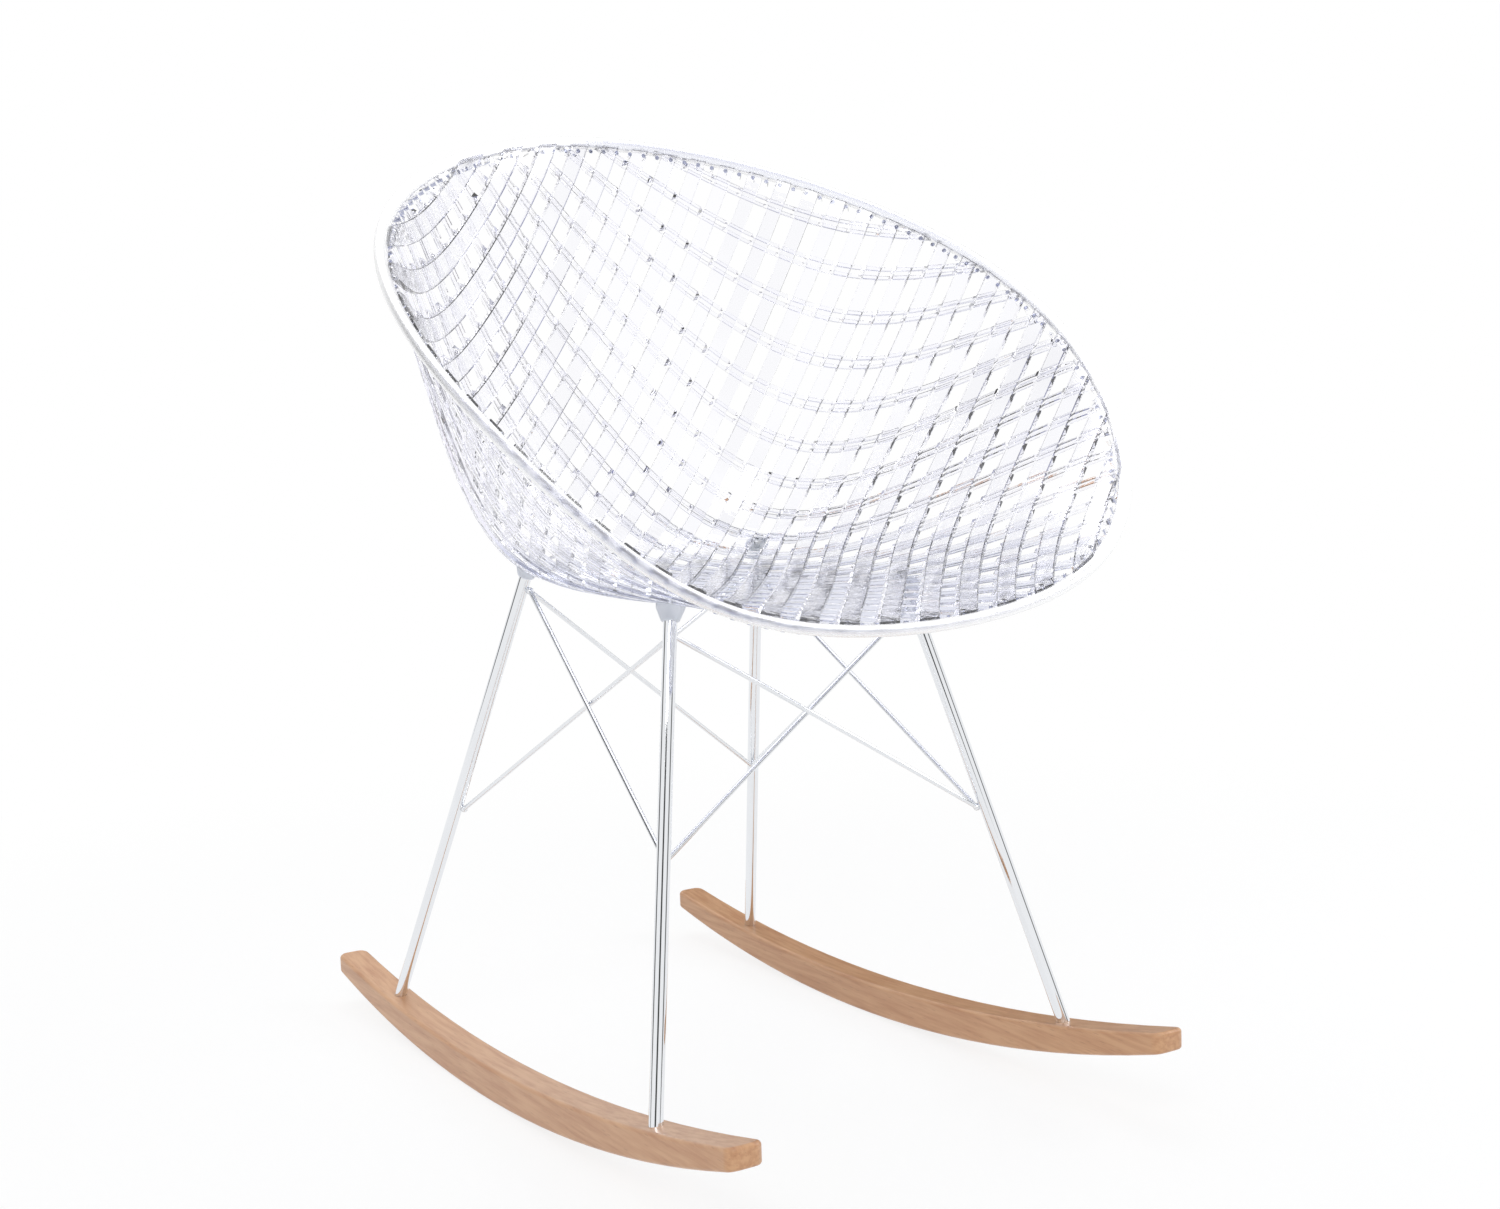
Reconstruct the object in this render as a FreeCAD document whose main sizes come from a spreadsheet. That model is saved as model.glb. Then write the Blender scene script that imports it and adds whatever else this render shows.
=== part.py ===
import FreeCAD, Part
import math
import os

import Sketcher
from FreeCAD import Placement, Rotation, Vector

# Rocking chair: a moulded clear bucket seat on four splayed steel rods, two bent brace wires that
# zigzag round the rods, and two beech rockers. Millimetres, +Z up, the chair faces -Y.
# The origin lies on the floor, in the middle of the outer box. Left and right are the sitter's,
# so the left side is +X.

SIZES = {
    # rim of the seat: a closed curve from the front lip (angle 0) to the middle of the back
    "shell_width": 602.0,
    "lip_forward": 324.0,
    "lip_height": 407.0,
    "rim_run": 488.0,
    "rim_rise": 406.0,
    "width_skew": -0.038,
    "width_arms": 0.006,
    "width_waves": 0.028,
    "run_skew": -0.183,
    "run_arms": -0.025,
    "rise_skew": -0.026,
    "rise_arms": -0.017,
    # bucket surface: a pan outline round the pan centre, and the wall from there to the rim
    "pan_half_width": 246.0,
    "pan_centre_back": 34.0,
    "pan_front_reach": 279.0,
    "pan_rear_reach": 192.0,
    "pan_squareness": 2.331,
    "pan_height": 438.0,
    "pan_slope": 0.066,
    "pan_dish": 20.0,
    "pan_power": 5.677,
    "wall_power": 0.498,
    "wall_swell": 1.446,
    "wall_reach": 0.8,
    "wall_thickness": 9.0,
    # legs: where each rod meets the top of its rocker, and where it leaves its socket
    "leg_diameter": 11.0,
    "foot_spacing": 384.6,
    "front_foot_forward": 244.5,
    "front_foot_height": 57.0,
    "rear_foot_back": 245.7,
    "rear_foot_height": 35.6,
    "front_top_spacing": 227.6,
    "front_top_forward": 156.7,
    "front_top_height": 409.0,
    "rear_top_spacing": 236.4,
    "rear_top_back": 87.5,
    "rear_top_height": 430.0,
    "leg_in_socket": 7.0,
    "leg_in_rocker": 14.0,
    "thread_depth": 15.0,
    # moulded sockets under the seat
    "socket_tip_wall": 1.4,
    "socket_wall": 5.9,
    "socket_taper": 11.0,
    "socket_tip_round": 1.5,
    "socket_shoulder_round": 6.0,
    # brace wires
    "wire_diameter": 4.0,
    "weld_diameter": 6.4,
    "brace_top_share": 0.975,
    "brace_front_share": 0.51,
    "brace_rear_share": 0.47,
    "crossing_gap": 0.2,
    "least_bow": 1.5,
    # rockers
    "rocker_length": 745.0,
    "rocker_width": 29.0,
    "rocker_depth": 28.5,
    "floor_radius": 1504.0,
    "floor_contact_back": 63.0,
    "top_radius": 2021.0,
    "top_low_back": 86.7,
    "rocker_end_round": 9.0,
    "rocker_edge_round": 3.0,
    # screws
    "screw_diameter": 5.0,
    "screw_grip": 12.0,
    "head_diameter": 9.5,
    "head_height": 3.0,
    "head_round": 1.2,
    "head_recess": 4.0,
    "key_size": 3.0,
    "key_depth": 1.8,
    "screw_clearance": 0.2,
    "rod_clearance": 0.1,
}

# net of the bucket's smooth face
ROWS_UP_THE_WALL = 16
COLUMNS_ROUND = 72
RIM_STEPS = 6
LEVEL_SPREAD = 1.6
RIM_LEAN_POWER = 8
NORMAL_STEP = 0.002
WIDTH_STEPS = 360
CUBIC = 3

KEY_SIDES = 6
FULL_TURN = 360
LONG = 60.0
SAME_PLACE = 0.01

doc = FreeCAD.newDocument("rocking_chair")
sheet = doc.addObject("Spreadsheet::Sheet", "sizes")
for row, (alias, value) in enumerate(SIZES.items(), start=1):
    sheet.set(f"A{row}", alias)
    sheet.set(f"B{row}", str(value))
    sheet.setAlias(f"B{row}", alias)
doc.recompute()
parts = []


def size(alias):
    """The value of one driving size, read from the sheet."""
    return float(sheet.get(alias))


def keep(item, label):
    """Name a finished sub-part and put it on the list of pieces to write."""
    item.Label = label
    parts.append(item)
    return item


def along(start, direction):
    """A placement whose origin is at start and whose Z axis points along direction."""
    return Placement(start, Rotation(Vector(0, 0, 1), direction))


def cylinder(name, radius, length, placement):
    """A round bar or drill whose radius follows an expression on the sheet."""
    bar = doc.addObject("Part::Cylinder", name)
    bar.setExpression("Radius", radius)
    bar.Height = length
    bar.Placement = placement
    return bar


def cut(name, base, tools):
    """One piece with all its tools taken away."""
    if len(tools) > 1:
        tool = doc.addObject("Part::MultiFuse", name + "_tools")
        tool.Shapes = tools
    else:
        tool = tools[0]
    result = doc.addObject("Part::Cut", name)
    result.Base = base
    result.Tool = tool
    return result


def plane(body, role):
    """One of the origin planes of a body."""
    return next(item for item in body.Origin.OriginFeatures if item.Role == role)


def sketch_on(body, name, role):
    """An empty sketch on an origin plane of its own body."""
    sketch = body.newObject("Sketcher::SketchObject", name)
    sketch.AttachmentSupport = [(plane(body, role), "")]
    sketch.MapMode = "FlatFace"
    return sketch


def bind(sketch, constraint, expression):
    """Tie one sketch dimension to the sheet."""
    sketch.setExpression(f"Constraints[{constraint}]", expression)


# Seat shell. A point of the bucket has two parameters: the angle round the rim, and the level,
# which is 0 at the pan centre and 1 at the rim. A squarish pan outline spreads from the pan
# centre, and turns into the rim while the height runs from the sloping pan up to the rim.

def rim_across(angle):
    """The rim's sideways curve before it is scaled: a sine with its second to fourth harmonics."""
    waves = size("width_skew") * math.sin(2 * angle) + size("width_arms") * math.sin(3 * angle)
    return math.sin(angle) + waves + size("width_waves") * math.sin(4 * angle)


WIDEST = max(rim_across(math.pi * step / WIDTH_STEPS) for step in range(WIDTH_STEPS + 1))


def rim_along(angle, skew, arms):
    """The rim's way from the lip (0) to the middle of the back (1), with two harmonics."""
    turned = (1 - math.cos(angle)) / 2 + skew * (1 - math.cos(2 * angle)) / 2
    return turned + arms * (math.cos(angle) - math.cos(3 * angle)) / 2


def rim_point(angle):
    """The rim's middle line."""
    run = rim_along(angle, size("run_skew"), size("run_arms"))
    rise = rim_along(angle, size("rise_skew"), size("rise_arms"))
    return Vector(
        size("shell_width") / 2 * rim_across(angle) / WIDEST,
        size("rim_run") * run - size("lip_forward"),
        size("rim_rise") * rise + size("lip_height"))


def pan_point(angle):
    """The pan's outline in plan, measured from the pan centre: a superellipse."""
    power = 2 / size("pan_squareness")
    across = math.copysign(abs(math.sin(angle)) ** power, math.sin(angle))
    forward = math.copysign(abs(math.cos(angle)) ** power, math.cos(angle))
    reach = size("pan_front_reach") if forward > 0 else size("pan_rear_reach")
    return size("pan_half_width") * across, -reach * forward


def bucket_point(angle, level):
    """A point of the outer face at one rim angle and one level."""
    rim = rim_point(angle)
    pan_x, pan_y = pan_point(angle)
    centre_y = size("pan_centre_back")
    swing = size("wall_reach") * math.pi / 2
    turn = level * swing
    spread = (math.sin(turn) / math.sin(swing)) ** (2 / size("pan_power"))
    power = 2 / size("wall_power")
    rise = (1 - math.cos(turn) ** power) / (1 - math.cos(swing) ** power)
    swell = rise ** size("wall_swell")
    x = pan_x * spread + (rim.x - pan_x) * swell
    y = centre_y + pan_y * spread + (rim.y - centre_y - pan_y) * swell

    def pan(back):
        return size("pan_height") + size("pan_slope") * (back - centre_y)

    dish = size("pan_dish") * (1 - spread ** 2)
    return Vector(x, y, pan(y) + (rim.z - pan(rim.y)) * rise - dish)


def bucket_frame(angle, level):
    """The point, the direction up the wall and the outward normal of the outer face."""
    low = bucket_point(angle, max(level - NORMAL_STEP, NORMAL_STEP))
    high = bucket_point(angle, min(level + NORMAL_STEP, 1.0))
    up = (high - low).normalize()
    round_the_rim = bucket_point(angle + NORMAL_STEP, level) - bucket_point(angle - NORMAL_STEP, level)
    outward = round_the_rim.cross(up).normalize()
    return bucket_point(angle, level), up, outward


def wall_profile(angle):
    """Points of one upright section: up the outer face, round the rim and down the inner face."""
    thickness = size("wall_thickness")
    levels = [(row / ROWS_UP_THE_WALL) ** LEVEL_SPREAD for row in range(1, ROWS_UP_THE_WALL + 1)]
    outer = []
    inner = []
    for level in levels:
        point, up, outward = bucket_frame(angle, level)
        lean = thickness / 2 * level ** RIM_LEAN_POWER
        outer.append(point + outward * lean)
        inner.append(point + outward * (lean - thickness))
    point, up, outward = bucket_frame(angle, 1.0)
    rim = []
    for step in range(1, RIM_STEPS):
        turn = math.pi * step / RIM_STEPS
        rim.append(point + (outward * math.cos(turn) + up * math.sin(turn)) * (thickness / 2))
    return outer + rim + inner[::-1]


def flattened(ring):
    """The same ring laid flat on the plane through its own middle."""
    middle = sum(ring, Vector()) * (1 / len(ring))
    normal = Vector()
    for here, there in zip(ring, ring[1:] + ring[:1]):
        normal += (here - middle).cross(there - middle)
    normal.normalize()
    return [point - normal * (point - middle).dot(normal) for point in ring]


def shell_blank():
    """The bucket as one closed wall with flat middles on the pan's under and upper side."""
    angles = [2 * math.pi * column / COLUMNS_ROUND for column in range(COLUMNS_ROUND)]
    rings = [list(ring) for ring in zip(*[wall_profile(angle) for angle in angles])]
    rings[0] = flattened(rings[0])
    rings[-1] = flattened(rings[-1])
    spans = len(rings) - CUBIC
    ends = CUBIC + 1
    wall = Part.BSplineSurface()
    wall.buildFromPolesMultsKnots(
        rings, [ends] + [1] * (spans - 1) + [ends], [1] * (COLUMNS_ROUND + 1),
        list(range(spans + 1)), list(range(COLUMNS_ROUND + 1)), False, True, CUBIC, CUBIC)
    face = wall.toShape()
    caps = [Part.Face(Part.Wire([wall.uIso(level).toShape()])) for level in (0, spans)]
    shell = Part.makeShell([face] + caps)
    shell.sewShape()
    solid = Part.makeSolid(shell)
    if solid.Volume < 0:
        solid.reverse()
    return solid


blank = doc.addObject("Part::Feature", "seat_shell_blank")
blank.Shape = shell_blank()


# Legs. Each rod is straight, from inside its rocker to inside its socket.

CORNERS = {
    "front_left": (1, "front"),
    "front_right": (-1, "front"),
    "rear_right": (-1, "rear"),
    "rear_left": (1, "rear"),
}


def foot_point(corner):
    """Where the rod's axis meets the top of the rocker."""
    side, end = CORNERS[corner]
    x = side * size("foot_spacing") / 2
    if end == "front":
        return Vector(x, -size("front_foot_forward"), size("front_foot_height"))
    return Vector(x, size("rear_foot_back"), size("rear_foot_height"))


def top_point(corner):
    """Where the rod's axis leaves the lower end of the socket."""
    side, end = CORNERS[corner]
    x = side * size(end + "_top_spacing") / 2
    if end == "front":
        return Vector(x, -size("front_top_forward"), size("front_top_height"))
    return Vector(x, size("rear_top_back"), size("rear_top_height"))


def axis(corner):
    """The rod's direction, upwards."""
    return (top_point(corner) - foot_point(corner)).normalize()


def crossing(corner, solid, start):
    """Distances from start, along the rod's axis, where the axis enters and leaves a solid."""
    line = Part.makeLine(start - axis(corner) * LONG, start + axis(corner) * LONG)
    inside = line.common(solid)
    reach = [(vertex.Point - start).dot(axis(corner)) for vertex in inside.Vertexes]
    return min(reach), max(reach)


# Rockers: an arc that rolls on the floor, a flatter arc on top, rounded ends.

def rocker_blank(side_name, side):
    """One rocker before it is drilled."""
    body = doc.addObject("PartDesign::Body", "rocker_body_" + side_name)
    body.setExpression("Placement.Base.x", f"{side} * sizes.foot_spacing / 2")
    sketch = sketch_on(body, "rocker_outline_" + side_name, "YZ_Plane")
    half = size("rocker_length") / 2
    low = Vector(size("floor_contact_back"), size("floor_radius"), 0)
    high = Vector(size("top_low_back"), size("rocker_depth") + size("top_radius"), 0)

    def arc(centre, radius):
        start = math.atan2(-math.sqrt(radius ** 2 - (half + centre.x) ** 2), -half - centre.x)
        stop = math.atan2(-math.sqrt(radius ** 2 - (half - centre.x) ** 2), half - centre.x)
        return Part.ArcOfCircle(Part.Circle(centre, Vector(0, 0, 1), radius), start, stop)

    under = arc(low, size("floor_radius"))
    over = arc(high, size("top_radius"))
    sketch.addGeometry(under)
    sketch.addGeometry(over)
    sketch.addGeometry(Part.LineSegment(under.StartPoint, over.StartPoint))
    sketch.addGeometry(Part.LineSegment(under.EndPoint, over.EndPoint))
    for line, point in ((2, 1), (3, 2)):
        sketch.addConstraint(Sketcher.Constraint("Coincident", line, 1, 0, point))
        sketch.addConstraint(Sketcher.Constraint("Coincident", line, 2, 1, point))
        sketch.addConstraint(Sketcher.Constraint("Vertical", line))
    bind(sketch, sketch.addConstraint(Sketcher.Constraint("Radius", 0, size("floor_radius"))),
         "sizes.floor_radius")
    bind(sketch, sketch.addConstraint(Sketcher.Constraint("Radius", 1, size("top_radius"))),
         "sizes.top_radius")
    bind(sketch, sketch.addConstraint(Sketcher.Constraint("DistanceX", -1, 1, 0, 3, low.x)),
         "sizes.floor_contact_back")
    bind(sketch, sketch.addConstraint(Sketcher.Constraint("DistanceY", -1, 1, 0, 3, low.y)),
         "sizes.floor_radius")
    bind(sketch, sketch.addConstraint(Sketcher.Constraint("DistanceX", -1, 1, 1, 3, high.x)),
         "sizes.top_low_back")
    bind(sketch, sketch.addConstraint(Sketcher.Constraint("DistanceY", -1, 1, 1, 3, high.y)),
         "sizes.rocker_depth + sizes.top_radius")
    bind(sketch, sketch.addConstraint(Sketcher.Constraint("DistanceX", 0, 1, -1, 1, half)),
         "sizes.rocker_length / 2")
    bind(sketch, sketch.addConstraint(Sketcher.Constraint("DistanceX", -1, 1, 0, 2, half)),
         "sizes.rocker_length / 2")
    doc.recompute()

    pad = body.newObject("PartDesign::Pad", "rocker_pad_" + side_name)
    pad.Profile = sketch
    pad.SideType = "Symmetric"
    pad.setExpression("Length", "sizes.rocker_width")
    doc.recompute()

    ends = body.newObject("PartDesign::Fillet", "rocker_ends_" + side_name)
    upright = [f"Edge{index}" for index, edge in enumerate(pad.Shape.Edges, start=1)
               if max(edge.BoundBox.XLength, edge.BoundBox.YLength) < SAME_PLACE]
    ends.Base = (pad, upright)
    ends.setExpression("Radius", "sizes.rocker_end_round")
    doc.recompute()

    edges = body.newObject("PartDesign::Fillet", "rocker_edges_" + side_name)
    long_faces = [face for face in ends.Shape.Faces
                  if face.BoundBox.YLength > half and face.BoundBox.XLength > size("rocker_width") / 2]
    around = [edge for face in long_faces for edge in face.Edges]
    names = [f"Edge{index}" for index, edge in enumerate(ends.Shape.Edges, start=1)
             if any(edge.isSame(other) for other in around)]
    edges.Base = (ends, names)
    edges.setExpression("Radius", "sizes.rocker_edge_round")
    body.Tip = edges
    doc.recompute()
    return body


def screw(name, place, length):
    """A socket-head screw: place is the underside of the head, with Z towards the head."""
    head = cylinder(name + "_head", "sizes.head_diameter / 2", size("head_height"), place)
    head.setExpression("Height", "sizes.head_height")
    shank_place = place.multiply(Placement(Vector(0, 0, -length), Rotation()))
    shank = cylinder(name + "_shank", "sizes.screw_diameter / 2", length, shank_place)
    whole = doc.addObject("Part::MultiFuse", name + "_whole")
    whole.Shapes = [head, shank]
    doc.recompute()
    rounded = doc.addObject("Part::Fillet", name + "_rounded")
    rounded.Base = whole
    top = place.multVec(Vector(0, 0, size("head_height")))
    rim = [index for index, edge in enumerate(whole.Shape.Edges, start=1)
           if isinstance(edge.Curve, Part.Circle) and (edge.Curve.Center - top).Length < SAME_PLACE]
    rounded.Edges = [(index, size("head_round"), size("head_round")) for index in rim]
    key = doc.addObject("Part::Prism", name + "_key")
    key.Polygon = KEY_SIDES
    key.setExpression("Circumradius", "sizes.key_size / sqrt(3)")
    key.Height = LONG
    key.Placement = place.multiply(
        Placement(Vector(0, 0, size("head_height") - size("key_depth")), Rotation()))
    return cut(name, rounded, [key])


TAPPED = "(sizes.screw_diameter + sizes.screw_clearance) / 2"
RECESS = "sizes.head_diameter / 2 + sizes.screw_clearance"
ROD_HOLE = "sizes.leg_diameter / 2 + sizes.rod_clearance"
SOCKET_TIP = ROD_HOLE + " + sizes.socket_tip_wall"
SOCKET_SHOULDER = ROD_HOLE + " + sizes.socket_wall"


def leg(corner, bottom, top):
    """A rod from bottom to top, with a tapped hole in each end."""
    direction = axis(corner)
    rod = cylinder("rod_" + corner, "sizes.leg_diameter / 2", (top - bottom).Length,
                   along(bottom, direction))
    depth = size("thread_depth")
    low = cylinder("low_thread_" + corner, TAPPED, depth, along(bottom, direction))
    high = cylinder("high_thread_" + corner, TAPPED, depth,
                    along(top - direction * depth, direction))
    return keep(cut("leg_cut_" + corner, rod, [low, high]), "leg_" + corner)


def screw_and_drills(name, corner, seat, towards_head, leg_end):
    """A screw whose head rests on seat and grips the rod's end, and the two drills that make room
    for it: a recess for the head, and a hole for the shank that starts at the seat."""
    place = along(seat, towards_head)
    grip = (seat - leg_end).Length + size("screw_grip")
    keep(screw(f"{name}_cut_{corner}", place, grip), f"{name}_{corner}")
    recess = cylinder(f"{name}_recess_{corner}", RECESS, LONG, place)
    hole = cylinder(f"{name}_hole_{corner}", TAPPED, LONG, along(seat, towards_head * -1))
    return [recess, hole]


def ring_edges(shape, radius, height):
    """The names of the edges of a turned shape that lie at one radius and one height."""
    names = []
    for index, edge in enumerate(shape.Edges, start=1):
        if not isinstance(edge.Curve, Part.Circle):
            continue
        wrong_radius = abs(edge.Curve.Radius - radius) > SAME_PLACE
        wrong_height = abs(edge.Curve.Center.z - height) > SAME_PLACE
        if not wrong_radius and not wrong_height:
            names.append(f"Edge{index}")
    return names


def socket(corner, reach):
    """A turned socket from the rod's top up to reach, trimmed by the underside of the pan."""
    body = doc.addObject("PartDesign::Body", "socket_body_" + corner)
    sketch = sketch_on(body, "socket_outline_" + corner, "XZ_Plane")
    bore = size("leg_diameter") / 2 + size("rod_clearance")
    hole = (size("screw_diameter") + size("screw_clearance")) / 2
    tip = bore + size("socket_tip_wall")
    wide = bore + size("socket_wall")
    outline = [Vector(bore, 0, 0), Vector(tip, 0, 0), Vector(wide, size("socket_taper"), 0),
               Vector(wide, reach, 0), Vector(hole, reach, 0),
               Vector(hole, size("leg_in_socket"), 0), Vector(bore, size("leg_in_socket"), 0)]
    for start, stop in zip(outline, outline[1:] + outline[:1]):
        sketch.addGeometry(Part.LineSegment(start, stop))
    for index in range(len(outline)):
        following = (index + 1) % len(outline)
        sketch.addConstraint(Sketcher.Constraint("Coincident", index, 2, following, 1))
    for line in (0, 3, 5):
        sketch.addConstraint(Sketcher.Constraint("Horizontal", line))
    for line in (2, 4, 6):
        sketch.addConstraint(Sketcher.Constraint("Vertical", line))
    socket_sizes = (
        ("DistanceX", 0, 1, bore, ROD_HOLE),
        ("DistanceX", 1, 1, tip, SOCKET_TIP),
        ("DistanceX", 2, 1, wide, SOCKET_SHOULDER),
        ("DistanceX", 4, 1, hole, TAPPED),
        ("DistanceY", 2, 1, size("socket_taper"), "sizes.socket_taper"),
        ("DistanceY", 6, 1, size("leg_in_socket"), "sizes.leg_in_socket"),
    )
    for kind, line, point, value, expression in socket_sizes:
        made = sketch.addConstraint(Sketcher.Constraint(kind, -1, 1, line, point, value))
        bind(sketch, made, expression)
    sketch.addConstraint(Sketcher.Constraint("DistanceY", -1, 1, 3, 1, reach))
    sketch.addConstraint(Sketcher.Constraint("PointOnObject", 0, 1, -1))
    doc.recompute()

    turned = body.newObject("PartDesign::Revolution", "socket_turned_" + corner)
    turned.Profile = sketch
    turned.ReferenceAxis = (sketch, ["V_Axis"])
    turned.Angle = FULL_TURN
    doc.recompute()
    shoulder = body.newObject("PartDesign::Fillet", "socket_shoulder_" + corner)
    shoulder.Base = (turned, ring_edges(turned.Shape, wide, size("socket_taper")))
    shoulder.setExpression("Radius", "sizes.socket_shoulder_round")
    doc.recompute()
    tip_round = body.newObject("PartDesign::Fillet", "socket_tip_" + corner)
    tip_round.Base = (shoulder, ring_edges(shoulder.Shape, tip, 0))
    tip_round.setExpression("Radius", "sizes.socket_tip_round")
    body.Tip = tip_round
    body.Placement = along(top_point(corner), axis(corner))
    doc.recompute()
    return keep(cut("socket_cut_" + corner, body, [blank]), "leg_socket_" + corner)


rocker_blanks = {1: rocker_blank("left", 1), -1: rocker_blank("right", -1)}
rocker_drills = {1: [], -1: []}
shell_drills = []
legs = {}

for corner, (side, end) in CORNERS.items():
    direction = axis(corner)
    top = top_point(corner)
    foot = foot_point(corner)
    wall_under, wall_over = crossing(corner, blank.Shape, top)
    wood_under, wood_over = crossing(corner, rocker_blanks[side].Shape, foot)
    leg_bottom = foot - direction * size("leg_in_rocker")
    leg_top = top + direction * size("leg_in_socket")
    legs[corner] = leg(corner, leg_bottom, leg_top)
    socket(corner, wall_under + size("wall_thickness") / 2)

    # one screw comes down through the pan, the other up through the rocker
    pan_seat = top + direction * (wall_over - size("head_recess"))
    shell_drills += screw_and_drills("seat_screw", corner, pan_seat, direction, leg_top)
    wood_seat = foot + direction * (wood_under + size("head_recess"))
    rocker_drills[side] += screw_and_drills("foot_screw", corner, wood_seat, direction * -1,
                                            leg_bottom)
    rocker_drills[side].append(cylinder("rod_hole_" + corner, ROD_HOLE, LONG,
                                        along(leg_bottom, direction)))

keep(cut("seat_shell_cut", blank, shell_drills), "seat_shell")
for side, side_name in ((1, "left"), (-1, "right")):
    keep(cut("rocker_cut_" + side_name, rocker_blanks[side], rocker_drills[side]),
         "rocker_" + side_name)


# Braces. Two bent wires zigzag round the four rods, each touching every rod on its inner side,
# high on one rod and low on the next. On each face of the frame the two wires cross. At the sides
# they pass clear of each other; at the front and rear they bow apart by half a wire each.

def brace_contact(corner, high):
    """The middle of the wire where it touches the rod, and the direction away from the rod."""
    end = CORNERS[corner][1]
    share = size("brace_top_share") if high else size("brace_" + end + "_share")
    foot = foot_point(corner)
    on_axis = foot + (top_point(corner) - foot) * share
    middle = Vector()
    for other in CORNERS:
        start = foot_point(other)
        middle += (start + (top_point(other) - start) * share) / len(CORNERS)
    inward = middle - on_axis
    inward -= axis(corner) * inward.dot(axis(corner))
    inward.normalize()
    return on_axis + inward * (size("leg_diameter") + size("wire_diameter")) / 2, inward


def crossing_of(inner, outer):
    """Where two straight wires pass: the share along each, the outward normal and their gap."""
    along_inner = inner[1] - inner[0]
    along_outer = outer[1] - outer[0]
    outward = along_inner.cross(along_outer).normalize()
    if outward.dot(Vector(inner[0].x + inner[1].x, inner[0].y + inner[1].y, 0)) < 0:
        outward = outward * -1
    between = inner[0] - outer[0]
    inner_square = along_inner.dot(along_inner)
    outer_square = along_outer.dot(along_outer)
    mixed = along_inner.dot(along_outer)
    scale = inner_square * outer_square - mixed ** 2
    inner_share = (mixed * along_outer.dot(between) - outer_square * along_inner.dot(between)) / scale
    outer_share = (inner_square * along_outer.dot(between) - mixed * along_inner.dot(between)) / scale
    gap = (outer[0] + along_outer * outer_share - inner[0] - along_inner * inner_share).dot(outward)
    return inner_share, outer_share, outward, gap


def bowed_wire(name, start, stop, share, side_step):
    """A round wire on an arc from start to stop that passes side_step off the chord at share."""
    chord = stop - start
    length = chord.Length
    forward = chord * (1 / length)
    sideways = (side_step - forward * side_step.dot(forward)).normalize()
    bow = side_step.Length
    away = share * length - length / 2
    centre_below = (away ** 2 + bow ** 2 - length ** 2 / 4) / (2 * bow)
    radius = math.hypot(length / 2, centre_below)

    body = doc.addObject("PartDesign::Body", name + "_body")
    path = sketch_on(body, name + "_path", "XY_Plane")
    circle = Part.Circle(Vector(length / 2, centre_below, 0), Vector(0, 0, 1), radius)
    first = math.atan2(-centre_below, length / 2)
    last = math.atan2(-centre_below, -length / 2)
    path.addGeometry(Part.ArcOfCircle(circle, first, last))
    path.addConstraint(Sketcher.Constraint("Coincident", 0, 2, -1, 1))
    path.addConstraint(Sketcher.Constraint("PointOnObject", 0, 1, -1))
    path.addConstraint(Sketcher.Constraint("DistanceX", -1, 1, 0, 1, length))
    path.addConstraint(Sketcher.Constraint("Radius", 0, radius))
    outline = sketch_on(body, name + "_outline", "YZ_Plane")
    outline.addGeometry(Part.Circle(Vector(), Vector(0, 0, 1), size("wire_diameter") / 2))
    outline.addConstraint(Sketcher.Constraint("Coincident", 0, 3, -1, 1))
    bind(outline, outline.addConstraint(Sketcher.Constraint("Diameter", 0, size("wire_diameter"))),
         "sizes.wire_diameter")
    doc.recompute()
    pipe = body.newObject("PartDesign::AdditivePipe", name + "_pipe")
    pipe.Profile = outline
    pipe.Spine = (path, ["Edge1"])
    body.Tip = pipe
    across = forward.cross(sideways)
    body.Placement = Placement(FreeCAD.Matrix(
        forward.x, sideways.x, across.x, start.x,
        forward.y, sideways.y, across.y, start.y,
        forward.z, sideways.z, across.z, start.z,
        0, 0, 0, 1))
    doc.recompute()
    return body


SIDES = {
    "front": ("front_left", "front_right"),
    "right": ("front_right", "rear_right"),
    "rear": ("rear_right", "rear_left"),
    "left": ("rear_left", "front_left"),
}
INNER_HIGH = ("front_right", "rear_left")

weld_balls = {}
for wire in ("inner", "outer"):
    for corner in CORNERS:
        high = (corner in INNER_HIGH) == (wire == "inner")
        contact, inward = brace_contact(corner, high)
        ball = doc.addObject("Part::Sphere", f"weld_ball_{wire}_{corner}")
        ball.setExpression("Radius", "sizes.weld_diameter / 2")
        ball.Placement = Placement(contact, Rotation(inward, Vector(), axis(corner), "ZXY"))
        weld_balls[wire, corner] = ball
        keep(cut(f"weld_cut_{wire}_{corner}", ball, [legs[corner]]), f"brace_weld_{wire}_{corner}")


def contact_of(wire, corner):
    """The middle of a wire at one rod."""
    return weld_balls[wire, corner].Placement.Base


def mitre(name, wire, corner, here, there):
    """The half of space beyond the plane that halves the bend from one run to the next."""
    middle = contact_of(wire, corner)
    to_here = (contact_of(wire, here) - middle).normalize()
    to_there = (contact_of(wire, there) - middle).normalize()
    block = doc.addObject("Part::Box", f"{name}_mitre_{corner}")
    block.Length = LONG
    block.Width = LONG
    block.Height = LONG
    block.Placement = along(middle, to_there - to_here).multiply(
        Placement(Vector(-LONG / 2, -LONG / 2, 0), Rotation()))
    return block


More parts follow.
